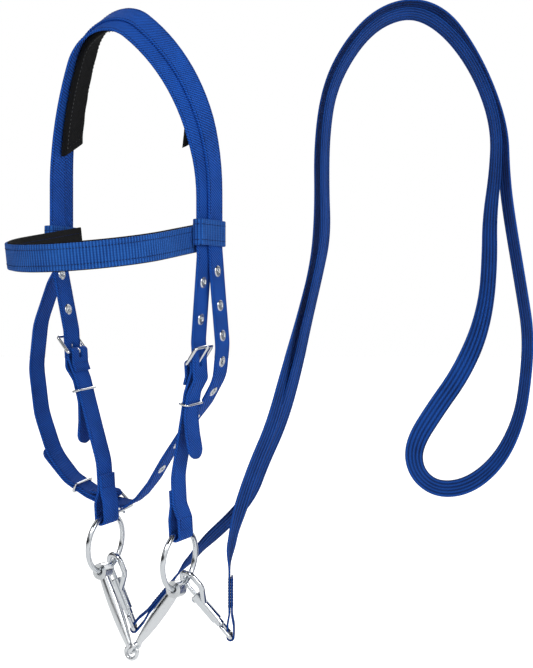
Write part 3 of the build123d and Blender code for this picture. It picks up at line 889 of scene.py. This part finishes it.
@dataclass
class Browband:
    """The ribbed band across the front, its lining and its two side loops."""

    finishes: Finishes
    lining_side: float = 80.1
    band_side: float = 82.85
    back: float = 21.4
    leg: float = 66.0

    def strip(self, half: float, width: float, thick: float) -> Strip:
        """Line of one ply, a U that bulges forward.

        Args:
            half: half the U's width.
            width: the ply's width.
            thick: its thickness.

        Returns:
            The ply's line.
        """
        dip = math.radians(9.5)
        board = Board(Vector((0, 0, -213.0)), Vector((1, 0, 0)), Vector((0, -math.sin(dip), math.cos(dip))))
        flat = [Vector((-half, self.back))]
        for step in range(41):
            angle = math.pi + math.pi * step / 40
            flat.append(Vector((half * math.cos(angle), -self.leg + half * math.sin(angle))))
        flat.append(Vector((half, self.back)))
        return Strip([board.at(*p) for p in flat], [board.z] * len(flat), width, thick)

    def build(self) -> None:
        """Build the band, lining, loops and stitch rows."""
        band = self.strip(self.band_side, WEB, PLY)
        wear(band.mesh("browband cover", FLAT), self.finishes.ribbed, "ribbed_webbing", "browband")
        lining = self.strip(self.lining_side, 27.0, 2.4)
        thing = lining.mesh("browband lining", flat_section(27.0, 2.4, 0.95))
        wear(thing, self.finishes.pad, "lining", "browband_lining")
        rows = Thread(self.finishes.dark_thread, 2.9)
        for across in (-7.5, 7.5):
            rows.row(band, across, 4, band.length - 4)
            rows.row(lining, across, 4, lining.length - 4)
        for side, name in ((-1, "left"), (1, "right")):
            half_x, half_y = 4.3, 22.15
            ring = [(-half_x, 0), (-half_x, -half_y), (half_x, -half_y), (half_x, half_y), (-half_x, half_y)]
            line = rounded(ring + [(-half_x, 0)], [2.2, 2.2, 2.2, 2.2])
            points = [Vector((side * 89.95 + side * p.x, 0.5 + p.y, -209.0)) for p in line]
            loop = Strip(points, [Vector((0, 0, 1))] * len(points), WEB, PLY)
            thing = loop.mesh(f"browband loop {name}", FLAT)
            wear(thing, self.finishes.ribbed, "ribbed_webbing", f"browband_loop_{name}")
            rows.edges(loop, 3, loop.length - 3, 7.5)
        rows.finish_off("browband stitching", "ribbed_webbing")


def eyelet(name: str, faces: list[Board], finish: Material, node: str) -> None:
    """Build a row of pressed eyelets with rolled rims.

    Args:
        name: the piece's name.
        faces: where they sit, each facing along its plane's z.
        finish: their material.
        node: the frame's node they stand for.
    """
    rim = [(2.5, 1.2), (2.7, 1.75), (3.3, 2.05), (4.3, 2.0), (5.1, 1.7), (5.5, 1.3)]
    profile = [(r, -z) for r, z in reversed(rim)] + [(2.45, 0.0)] + rim
    corners, quads = [], []
    for face in faces:
        start = len(corners)
        for step in range(36):
            angle = 2 * math.pi * step / 36
            for radius, rise in profile:
                corners.append(face.at(radius * math.cos(angle), radius * math.sin(angle), rise) * MM)
        count = len(profile)
        for step in range(36):
            for k in range(count - 1):
                a, b = start + step * count + k, start + (step + 1) % 36 * count + k
                quads.append((a, b, b + 1, a + 1))
    data = bpy.data.meshes.new(name)
    data.from_pydata(corners, [], quads)
    for polygon in data.polygons:
        polygon.use_smooth = True
    wear(put(name, data), finish, "eyelet_metal", node)


@dataclass
class Straps:
    """The buckled straps below the crown: two cheek pieces and the throatlatch."""

    finishes: Finishes
    sewing: Thread
    cutter: Cutter = field(default_factory=Cutter)

    def lay(self, board: Board, points: list[Pair], radii: list[float], tip: float = 0.0) -> Strip:
        """Line of a strap drawn on a plane.

        Args:
            board: the plane.
            points: its corners.
            radii: the radius of each inner corner.
            tip: how far its end is rounded.

        Returns:
            The strap's line.
        """
        line = rounded(points, radii)
        return Strip([board.at(*p) for p in line], [board.z] * len(line), WEB, PLY, tip)

    def on_run(self, board: Board, start: Pair, end: Pair, height: float) -> Board:
        """Plane facing out of a straight run of strap.

        Args:
            board: the plane the strap is drawn on.
            start: the run's start.
            end: the run's end.
            height: the height the plane is at.

        Returns:
            The facing plane.
        """
        run = (Vector(end) - Vector(start)).normalized()
        middle = Vector(start) + run * ((height - start[1]) / run.y)
        return Board(board.at(*middle), board.turn(run.x, run.y), board.turn(run.y, -run.x))

    def punched(self, name: str, strip: Strip, faces: list[Board], own: Board, node: str) -> None:
        """Build a punched strap with holes for its eyelets and for the buckle's tongue.

        Args:
            name: the piece's name.
            strip: its line.
            faces: where its eyelets are.
            own: the buckle's own plane.
            node: the frame's node it stands for.
        """
        thing = strip.mesh(name, FLAT)
        for face in faces:
            self.cutter.hole(face.origin, face.z, 3.0)
        self.cutter.slot(own, (5.0, 10.34, 3.8), (BILLET, 2.33, 0))
        self.cutter.cut(thing)
        wear(thing, self.finishes.webbing, "webbing", node)

    def cheek(self, name: str, side: int, drop: float) -> None:
        """Build one cheek piece.

        Args:
            name: left or right.
            side: -1 for left and 1 for right.
            drop: how much lower its buckle hangs.
        """
        board = leaning_board(-7.5, -222.0, 5.3)
        bar_x, bar_v = 71.0, -103.0
        own = Board(board.at(side * bar_x, bar_v - drop), board.turn(side, 0), board.turn(0, 0, side))
        low = (Vector((bar_x - 5.5, bar_v - 28)), Vector((bar_x - 10.5, bar_v - 50)))
        down = (low[1] - low[0]).normalized()
        out = Vector((-down.y, down.x))
        tail = [p + out * 3.2 for p in low]
        upper = [(HALF + CHEEK_PLY, 6 + drop), (HALF + CHEEK_PLY, -9 + drop), (bar_x + BILLET, bar_v + 22)]
        upper += [(bar_x + BILLET, bar_v - 9), (bar_x + BILLET + 0.3, bar_v - 16)]
        upper += [tuple(p) for p in tail]
        upper += [(tail[1].x + 1, tail[1].y - 20), (tail[1].x + 4.5, tail[1].y - 44)]
        path = [(side * x, v - drop) for x, v in upper]
        faces = [self.on_run(board, path[1], path[2], bar_v - drop + 43 + 36 * step) for step in (0, 1)]
        strip = self.lay(board, path, [20, 20, 14, 7, 14, 30, 30], 11)
        self.punched(f"cheek strap {name}", strip, faces, own, f"cheek_strap_{name}")
        eyelet(f"cheek eyelets {name}", faces, self.finishes.nickel, f"eyelets_{name}")
        self.sewing.edges(strip, 12, strip.length - 12)
        bend, loop_x, loop_v, bottom = 5.5, 45.0, -271.0, -279.5
        lower = [(bar_x - 5.9, bar_v - 20), (bar_x - FOLD, bar_v - 12), (bar_x - FOLD, bar_v + FOLD)]
        lower += [(bar_x + FOLD, bar_v + FOLD), (bar_x + FOLD, bar_v - 7), tuple(low[0]), tuple(low[1])]
        lower += [(bar_x - 19, bar_v - 85), (loop_x, loop_v + 55), (loop_x, loop_v + 27)]
        lower += [(loop_x + bend, loop_v + 13), (loop_x + bend, bottom), (loop_x - bend, bottom)]
        lower += [(loop_x - bend, loop_v + 13), (loop_x - STEP, loop_v + 27), (loop_x - STEP, loop_v + 42)]
        path = [(side * x, v - drop) for x, v in lower]
        arc, ring = FOLD * 0.98, bend * 0.98
        radii = [8, arc, arc, 8, 14, 40, 50, 50, 12, 12, ring, ring, 12, 12]
        strip = self.lay(board, path, radii)
        thing = strip.mesh(f"cheek lower {name}", FLAT)
        self.cutter.slot(own, BUCKLE_SLOT, (0, 1, 0))
        self.cutter.cut(thing)
        wear(thing, self.finishes.webbing, "webbing", f"cheek_lower_{name}")
        self.sewing.box(strip, 2, 9)
        self.sewing.box(strip, 36, 43)
        self.sewing.edges(strip, 46, strip.length - 62)
        self.sewing.box(strip, strip.length - 13, strip.length - 2)
        self.sewing.box(strip, strip.length - 79, strip.length - 68)

    def throat(self) -> None:
        """Build both halves of the throatlatch."""
        board = leaning_board(8.5, -222.0, 10.5)
        slope = math.radians(-8)
        cos, sin = math.cos(slope), math.sin(slope)

        def at_bar(n: float, up: float) -> Pair:
            """Point beside the buckle's bar.

            Args:
                n: distance out of the strap's face.
                up: distance along the strap.

            Returns:
                The point on the plane.
            """
            return -66.0 + up * cos + n * sin, -259.0 + up * sin - n * cos

        own = Board(board.at(-66.0, -259.0), board.turn(sin, -cos), board.turn(0, 0, 1))
        join, turn = Vector(at_bar(0.4, -24)), Vector((-116, -241))
        run = (turn - join).normalized()
        out = Vector((-run.y, run.x)) * 3.2
        fold = [(-2.9, -21), (-FOLD, -12), (-FOLD, FOLD), (FOLD, FOLD), (FOLD, -8)]
        path = [at_bar(*p) for p in fold] + [tuple(join), tuple(turn), (-136, -216), (-147, -172)]
        path += [(-147, -122), (-134, -74), (-109.35, -30), (-HALF - THROAT_PLY, -8), (-HALF - THROAT_PLY, 6)]
        arc = FOLD * 0.98
        strip = self.lay(board, path, [8, arc, arc, 8, 14, 20, 50, 60, 60, 60, 40, 12])
        thing = strip.mesh("throatlatch left", FLAT)
        self.cutter.slot(own, BUCKLE_SLOT, (0, 1, 0))
        self.cutter.cut(thing)
        wear(thing, self.finishes.webbing, "webbing", "throatlatch_left")
        self.sewing.box(strip, 2, 9)
        self.sewing.edges(strip, 44, strip.length - 10)
        path = [(HALF + THROAT_PLY, 6), (89.95, -45), (88.95, -98), (82, -130), (62, -158), (34, -186)]
        path += [(10, -214), (-10, -240), (-27, -257), at_bar(BILLET, 24), at_bar(BILLET, -12)]
        path += [tuple(join + out), tuple(turn + out), (-146, -211)]
        heights = [(0, -24), (1, -58), (1, -88), (2, -114), (3, -144), (4, -172), (5, -200), (6, -227)]
        faces = [self.on_run(board, path[i], path[i + 1], height) for i, height in heights]
        strip = self.lay(board, path, [60, 60, 40, 50, 60, 60, 40, 14, 20, 14, 14, 30], 11)
        self.punched("throatlatch right", strip, faces, own, "throatlatch_right")
        eyelet("throatlatch eyelets", faces, self.finishes.nickel, "eyelets_throat")
        self.sewing.edges(strip, 4, strip.length - 12)

    def build(self) -> None:
        """Build both cheek pieces, the throatlatch and their sewing."""
        self.cheek("left", -1, 0.0)
        self.cheek("right", 1, SLIP)
        self.throat()
        self.sewing.finish_off("strap stitching", "webbing")


@dataclass
class Fittings:
    """The metal pieces, shown as the frame has them."""

    finishes: Finishes
    nodes: dict[str, Thing]

    def build(self) -> None:
        """Give every metal node its finish."""
        for name, node in self.nodes.items():
            if node.hide_render:
                continue
            finish = self.finishes.nickel
            if name.startswith("bit_arm"):
                finish = self.finishes.satin
            elif name.startswith("snap_spring"):
                finish = self.finishes.spring
            node.data.materials.clear()
            node.data.materials.append(finish)
            LOG.info("finish %s on %s", finish.name, name)


ROUTE = [
    (0.07077, 0.06899, -0.5475), (0.07077, 0.06899, -0.5255), (0.0884, 0.06489, -0.476),
    (0.10152, 0.07016, -0.436), (0.11624, 0.07866, -0.397), (0.12637, 0.08912, -0.343),
    (0.13636, 0.10182, -0.289), (0.14648, 0.11228, -0.235), (0.14895, 0.11602, -0.181),
    (0.14808, 0.11552, -0.115), (0.15501, 0.11952, -0.057), (0.1732, 0.13002, -0.014),
    (0.20004, 0.14552, 0.019), (0.23209, 0.16402, 0.03), (0.26066, 0.18052, 0.017),
    (0.28231, 0.19302, -0.018), (0.29964, 0.20302, -0.059), (0.31089, 0.20952, -0.102),
    (0.31176, 0.21002, -0.14), (0.31522, 0.21202, -0.18), (0.32735, 0.21902, -0.263),
    (0.33341, 0.22252, -0.308), (0.33181, 0.21928, -0.351), (0.32675, 0.21405, -0.394),
    (0.31043, 0.20232, -0.435), (0.28458, 0.18509, -0.461), (0.257, 0.16686, -0.465),
    (0.23895, 0.15412, -0.447), (0.23735, 0.15089, -0.419), (0.25827, 0.16066, -0.382),
    (0.27819, 0.17216, -0.35), (0.29378, 0.18116, -0.313), (0.30244, 0.18616, -0.274),
    (0.30504, 0.18766, -0.232), (0.30504, 0.18766, -0.19), (0.31023, 0.19066, -0.142),
    (0.3111, 0.19116, -0.099), (0.29984, 0.18466, -0.056), (0.28079, 0.17366, -0.018),
    (0.25827, 0.16066, 0.008), (0.23489, 0.14716, 0.018), (0.20804, 0.13166, 0.007),
    (0.18639, 0.11916, -0.019), (0.16821, 0.10866, -0.059), (0.16214, 0.10516, -0.103),
    (0.16128, 0.10466, -0.157), (0.16301, 0.10566, -0.207), (0.15608, 0.10166, -0.246),
    (0.14369, 0.09912, -0.298), (0.13203, 0.09932, -0.345), (0.11604, 0.09702, -0.397),
    (0.09772, 0.08875, -0.44), (0.08806, 0.08548, -0.468), (0.07133, 0.08044, -0.491),
    (0.03935, 0.07584, -0.52), (0.0107, 0.08425, -0.54551), (-0.00155, 0.07718, -0.56236),
]


@dataclass
class Rein:
    """The one-piece rein and its two folded ends."""

    finishes: Finishes
    across: Vector = field(default_factory=lambda: Vector((math.cos(math.radians(30)), 0.5, 0)))
    depth: Vector = field(default_factory=lambda: Vector((-0.5, math.cos(math.radians(30)), 0)))
    line: list[Vector] = field(default_factory=list)

    def centreline(self) -> None:
        """Read close points from a smooth curve through the rein's route."""
        curve = bpy.data.curves.new("rein line", "CURVE")
        curve.dimensions = "3D"
        curve.resolution_u = 10
        spline = curve.splines.new("NURBS")
        spline.points.add(len(ROUTE) - 1)
        for point, place in zip(spline.points, ROUTE):
            point.co = (*place, 1.0)
        spline.order_u = 3
        spline.use_endpoint_u = True
        thing = put("rein line", curve)
        bpy.context.view_layer.update()
        data = bpy.data.meshes.new_from_object(thing)
        self.line = [v.co.copy() for v in data.vertices]
        bpy.data.meshes.remove(data)
        bpy.data.objects.remove(thing)

    def tilt(self, share: float) -> float:
        """How far the webbing's width is turned from the depth direction.

        Args:
            share: place along the rein, from 0 to 1.

        Returns:
            The angle in degrees.
        """
        stops = [(0, 0), (0.012, 25), (0.03, 42), (0.06, 40), (0.12, 27), (0.44, 25), (0.5, 50), (0.54, 92)]
        stops += [(0.6, 138), (0.66, 155), (0.86, 153), (0.94, 140), (0.97, 138), (0.988, 155), (1, 180)]
        for (low, a), (high, b) in zip(stops, stops[1:]):
            if share <= high:
                step = (share - low) / (high - low)
                return a + (b - a) * step * step * (3 - 2 * step)
        return 180.0

    def end_fold(self, name: str, rise: float, end: Vector) -> None:
        """Build one end of the rein, folded round its snap's eye and sewn to itself.

        Args:
            name: left or right.
            rise: the angle it rises at, in degrees.
            end: where the rein's own line starts, in metres.
        """
        angle = math.radians(rise)
        along = self.across * math.cos(angle) + Vector((0, 0, math.sin(angle)))
        face = along.cross(-self.depth)
        origin = end / MM + face * 1.3 - along * 66.0
        board = Board(origin, face, -self.depth)
        fold = 3.3
        points = [(1.3, 60), (1.3, 22), (fold, 11), (fold, -fold), (-fold, -fold), (-fold, 11)]
        points += [(-1.3, 22), (-1.3, 66)]
        line = rounded(points, [14, 14, 3.23, 3.23, 14, 14])
        strip = Strip([board.at(*p) for p in line], [board.z] * len(line), REIN_WIDTH, REIN_THICK)
        thing = strip.mesh(f"rein end fold {name}", RIBBED)
        wear(thing, self.finishes.rein, "webbing", f"rein_end_{name}")
        sewing = Thread(self.finishes.thread, 3.0)
        sewing.box(strip, 3, 30, 8.0)
        sewing.box(strip, strip.length - 36, strip.length - 8, 8.0)
        sewing.finish_off(f"rein end stitching {name}", "webbing")

    def build(self) -> Thing:
        """Build the rein.

        Returns:
            The rein's mesh.
        """
        self.centreline()
        points = [p / MM for p in self.line]
        total = sum((b - a).length for a, b in zip(points, points[1:]))
        widths, gone = [], 0.0
        for i, point in enumerate(points):
            ahead = (points[min(i + 1, len(points) - 1)] - points[max(i - 1, 0)]).normalized()
            level = (self.depth - ahead * ahead.dot(self.depth)).normalized()
            side = level.cross(ahead).normalized()
            angle = math.radians(self.tilt(gone / total))
            widths.append(level * math.cos(angle) + side * math.sin(angle))
            if i + 1 < len(points):
                gone += (points[i + 1] - point).length
        strip = Strip(points, widths, REIN_WIDTH, REIN_THICK)
        thing = strip.mesh("rein webbing", RIBBED)
        wear(thing, self.finishes.rein, "webbing", "rein")
        self.end_fold("right", 90.0, Vector(ROUTE[0]))
        self.end_fold("left", 50.0, Vector(ROUTE[-1]))
        return thing


@dataclass
class Studio:
    """Camera, lights, floor and backdrop."""

    eye: Triple = (0.8656, -1.2323, -0.307)
    lens: float = 80.84

    def camera(self) -> None:
        """Place the camera."""
        data = bpy.data.cameras.new("camera")
        data.lens = self.lens
        data.sensor_width = 36.0
        data.clip_end = 30.0
        thing = put("camera", data)
        thing.location = self.eye
        thing.rotation_euler = (math.radians(90), 0, math.radians(30))
        bpy.context.scene.camera = thing

    def lamp(self, name: str, place: Triple, power: float, size: float) -> None:
        """Place one soft lamp that points at the object.

        Args:
            name: its name.
            place: where it stands.
            power: its power in watts.
            size: the side of its square face.
        """
        data = bpy.data.lights.new(name, "AREA")
        data.energy = power
        data.size = size
        thing = put(name, data)
        thing.location = place
        aim = Vector((0.08, 0.08, -0.3)) - Vector(place)
        thing.rotation_euler = aim.to_track_quat("-Z", "Y").to_euler()

    def room(self) -> None:
        """Make a pale room with darker corners, so that bright metal has something to show."""
        world = bpy.data.worlds.new("soft room")
        bpy.context.scene.world = world
        world.use_nodes = True
        tree = world.node_tree
        place = add_node(tree, "TexCoord").outputs["Generated"]
        patches = add_node(tree, "TexNoise", {"Vector": place, "Scale": 1.6, "Detail": 0.0})
        shades = two_tone(tree, patches.outputs[0], (0.47, "2B2C2E"), (0.6, "FFFFFF"))
        # what is seen straight on stays white; only the light and the reflections come from the patches
        seen = add_node(tree, "LightPath").outputs["Is Camera Ray"]
        both = {"Fac": seen, "Color1": shades, "Color2": (1, 1, 1, 1)}
        white = add_node(tree, "MixRGB", both)
        feed(tree.nodes["Background"], {"Color": white.outputs[0], "Strength": 1.0})

    def build(self) -> None:
        """Build the room and its light."""
        bpy.ops.mesh.primitive_plane_add(size=60, location=(0, 0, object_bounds()[0][2] - 0.15))
        floor = bpy.context.object
        floor.name = "floor"
        paper, tree, shader = blank("white paper, matt")
        feed(shader, {"Base Color": colour("F7F7F6"), "Roughness": 0.9, "Emission Color": colour("FFFFFF")})
        # the paper glows white to the eye but faintly to all else, so metal above it keeps its dark side
        seen = add_node(tree, "LightPath").outputs["Is Camera Ray"]
        feed(shader, {"Emission Strength": scaled(tree, seen, 0.8, 0.2)})
        floor.data.materials.append(paper)
        floor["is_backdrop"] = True
        self.room()
        self.lamp("key", (0.2, -1.9, 1.3), 20.0, 0.8)
        self.lamp("side", (1.9, -0.4, 0.5), 11.0, 0.8)
        self.lamp("back", (-0.9, 1.6, 0.9), 12.0, 1.0)
        bpy.context.scene.view_settings.view_transform = "Standard"


def main() -> None:
    """Build every piece in order."""
    logging.basicConfig(level=logging.INFO, format="%(message)s")
    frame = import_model()
    Studio().camera()
    finishes = Finishes.make()
    Rein(finishes).build()
    LOG.info("rein built")
    Crown(finishes).build()
    LOG.info("crown built")
    Browband(finishes).build()
    LOG.info("browband built")
    Straps(finishes, Thread(finishes.thread)).build()
    LOG.info("straps built")
    Fittings(finishes, frame["nodes"]).build()
    Studio().build()


if __name__ == "__main__":
    main()
